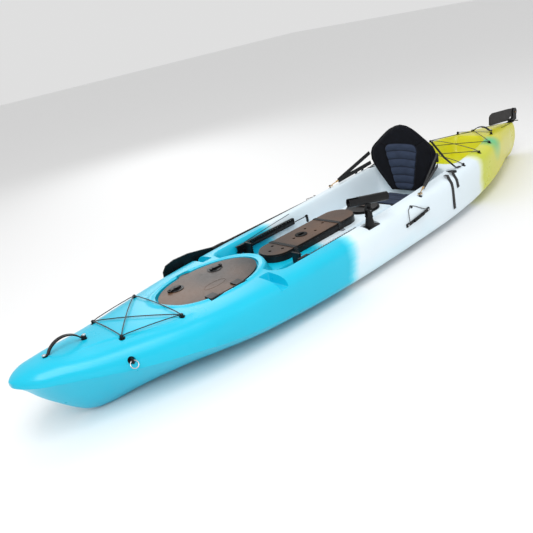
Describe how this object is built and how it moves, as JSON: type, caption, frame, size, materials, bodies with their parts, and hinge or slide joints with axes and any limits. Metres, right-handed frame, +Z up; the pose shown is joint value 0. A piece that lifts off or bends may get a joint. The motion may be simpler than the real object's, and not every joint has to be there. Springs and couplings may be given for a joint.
{
  "type": "kayak",
  "caption": "Sit-on-top fishing kayak with an oval hatch, tackle pod, foot pedals, padded seat, rod holders, flip-up rudder and stowed paddle",
  "frame": {"origin": "on the flat of the keel, amidships, on the centre plane", "axes": "+X to port, +Y towards the stern, +Z up"},
  "size_m": [0.8488, 4.37, 0.6588],
  "materials": {
    "hull_plastic": "glossy, streaked from turquoise at the bow through white to yellow at the stern",
    "black_plastic": "satin",
    "brown_plastic": "satin with a soft sheen",
    "seal_rubber": "matte",
    "steel": "brushed",
    "pale_cap": "satin",
    "cord": "braided",
    "cable": "smooth sheath",
    "seat_fabric": "woven, padded",
    "webbing": "woven webbing",
    "brass": "polished",
    "bronze": "satin",
    "blade_plastic": "satin",
    "paddle_black": "satin"
  },
  "bodies": {
    "hull": {"hull_shell": "hull_plastic", "hatch_rim": "black_plastic", "hatch_seal": "seal_rubber", "hatch_hinge_ears": "black_plastic", "hatch_hinge_pin": "steel", "day_hatch_frame": "black_plastic", "day_hatch_seal": "seal_rubber", "bow_handle": "black_plastic", "stern_handle": "black_plastic", "handle_caps": "pale_cap", "bow_eyes": "black_plastic", "bow_cord_fittings": "black_plastic", "bow_cord": "cord", "foot_rail_port": "black_plastic", "foot_rail_starboard": "black_plastic", "tackle_pod": "brown_plastic", "pod_straps": "webbing", "pod_strap_feet": "steel", "rudder_cables": "cable", "seat_base": "seat_fabric", "seat_straps": "webbing", "back_straps": "webbing", "strap_tails": "webbing", "snap_hooks": "brass", "seat_padeyes": "black_plastic", "rod_base": "black_plastic", "flush_rod_holders": "black_plastic", "side_handles": "black_plastic", "side_handle_screws": "steel", "keeper_cords": "cord", "keeper_clips": "black_plastic", "tank_fittings": "black_plastic", "tank_cord": "cord", "rudder_bracket": "black_plastic", "paddle_shaft": "paddle_black", "paddle_blades": "paddle_black"},
    "hatch_lid": {"hatch_lid": "brown_plastic", "hatch_lid_knuckles": "black_plastic", "latch_cups": "black_plastic"},
    "latch_front": {"latch_lever_front": "black_plastic"},
    "latch_rear": {"latch_lever_rear": "black_plastic"},
    "day_lid": {"day_hatch_lid": "brown_plastic"},
    "ring_port": {"bow_ring_port": "steel"},
    "ring_starboard": {"bow_ring_starboard": "steel"},
    "pedal_port": {"pedal_carriage_port": "black_plastic"},
    "pedal_starboard": {"pedal_carriage_starboard": "black_plastic"},
    "toe_port": {"toe_pedal_port": "black_plastic"},
    "toe_starboard": {"toe_pedal_starboard": "black_plastic"},
    "adjuster_port": {"adjuster_port": "black_plastic"},
    "adjuster_starboard": {"adjuster_starboard": "black_plastic"},
    "seat_back": {"seat_back": "seat_fabric"},
    "rod_post": {"rod_post": "black_plastic", "rod_bolt": "steel"},
    "rod_cradle": {"rod_cradle": "black_plastic"},
    "rod_knob": {"rod_knob": "black_plastic"},
    "rudder_head": {"rudder_head": "black_plastic", "rudder_pins": "bronze"},
    "rudder_blade": {"rudder_blade": "blade_plastic"},
    "drain_plug": {"drain_plug": "black_plastic"}
  },
  "joints": [
    {"name": "hatch_hinge", "type": "hinge", "parent": "hull", "child": "hatch_lid", "pos_m": [0.2, -1.1, 0.29966], "axis": [0, 1, 0], "range_deg": [0, 95]},
    {"name": "latch_front_turn", "type": "hinge", "parent": "hatch_lid", "child": "latch_front", "pos_m": [-0.088, -1.245, 0.3], "axis": [0, 0, 1], "range_deg": [0, 90]},
    {"name": "latch_rear_turn", "type": "hinge", "parent": "hatch_lid", "child": "latch_rear", "pos_m": [-0.088, -0.992, 0.3], "axis": [0, 0, 1], "range_deg": [0, 90]},
    {"name": "day_hatch_turn", "type": "hinge", "parent": "hull", "child": "day_lid", "pos_m": [0, 0.15, 0.25], "axis": [0, 0, 1], "range_deg": [0, 90]},
    {"name": "ring_port_swing", "type": "hinge", "parent": "hull", "child": "ring_port", "pos_m": [0.23313, -1.716, 0.252], "axis": [0, -1, 0], "range_deg": [0, 95]},
    {"name": "ring_starboard_swing", "type": "hinge", "parent": "hull", "child": "ring_starboard", "pos_m": [-0.23313, -1.716, 0.252], "axis": [0, 1, 0], "range_deg": [0, 95]},
    {"name": "pedal_port_slide", "type": "slide", "parent": "hull", "child": "pedal_port", "axis": [0, 1, 0], "range_m": [0, 0.36]},
    {"name": "toe_port_push", "type": "hinge", "parent": "pedal_port", "child": "toe_port", "pos_m": [0.2, -0.655, 0.2], "axis": [1, 0, 0], "range_deg": [-20, 20]},
    {"name": "adjuster_port_twist", "type": "hinge", "parent": "pedal_port", "child": "adjuster_port", "pos_m": [0.2323, -0.4, 0.26245], "axis": [0, 1, 0], "range_deg": [0, 60]},
    {"name": "pedal_starboard_slide", "type": "slide", "parent": "hull", "child": "pedal_starboard", "axis": [0, 1, 0], "range_m": [0, 0.36]},
    {"name": "toe_starboard_push", "type": "hinge", "parent": "pedal_starboard", "child": "toe_starboard", "pos_m": [-0.2, -0.655, 0.2], "axis": [1, 0, 0], "range_deg": [-20, 20]},
    {"name": "adjuster_starboard_twist", "type": "hinge", "parent": "pedal_starboard", "child": "adjuster_starboard", "pos_m": [-0.2323, -0.4, 0.26245], "axis": [0, -1, 0], "range_deg": [0, 60]},
    {"name": "seat_back_fold", "type": "hinge", "parent": "hull", "child": "seat_back", "pos_m": [0, 0.61, 0.1808], "axis": [1, 0, 0], "range_deg": [0, 70]},
    {"name": "rod_holder_swivel", "type": "hinge", "parent": "hull", "child": "rod_post", "pos_m": [0.34097, -0.2, 0.33], "axis": [0, 0, 1], "range_deg": [-60, 100]},
    {"name": "rod_cradle_tilt", "type": "hinge", "parent": "rod_post", "child": "rod_cradle", "pos_m": [0.34097, -0.2, 0.39136], "axis": [0.9272, -0.3746, 0], "range_deg": [-30, 45]},
    {"name": "rod_knob_turn", "type": "hinge", "parent": "rod_post", "child": "rod_knob", "pos_m": [0.34097, -0.2, 0.39136], "axis": [0.9272, -0.3746, 0], "continuous": true},
    {"name": "rudder_steer", "type": "hinge", "parent": "hull", "child": "rudder_head", "pos_m": [0, 2.132, 0.29], "axis": [0, 0, 1], "range_deg": [-30, 30]},
    {"name": "rudder_flip", "type": "hinge", "parent": "rudder_head", "child": "rudder_blade", "pos_m": [0, 2.188, 0.34232], "axis": [1, 0, 0], "range_deg": [-248, 0]},
    {"name": "drain_plug_turn", "type": "hinge", "parent": "hull", "child": "drain_plug", "pos_m": [0, 2.148, 0.148], "axis": [0, 1, 0], "range_deg": [-90, 90]}
  ],
  "couplings": [
    {"joint": "toe_port_push", "follows": "rudder_steer", "ratio": 0.66},
    {"joint": "toe_starboard_push", "follows": "rudder_steer", "ratio": -0.66}
  ]
}
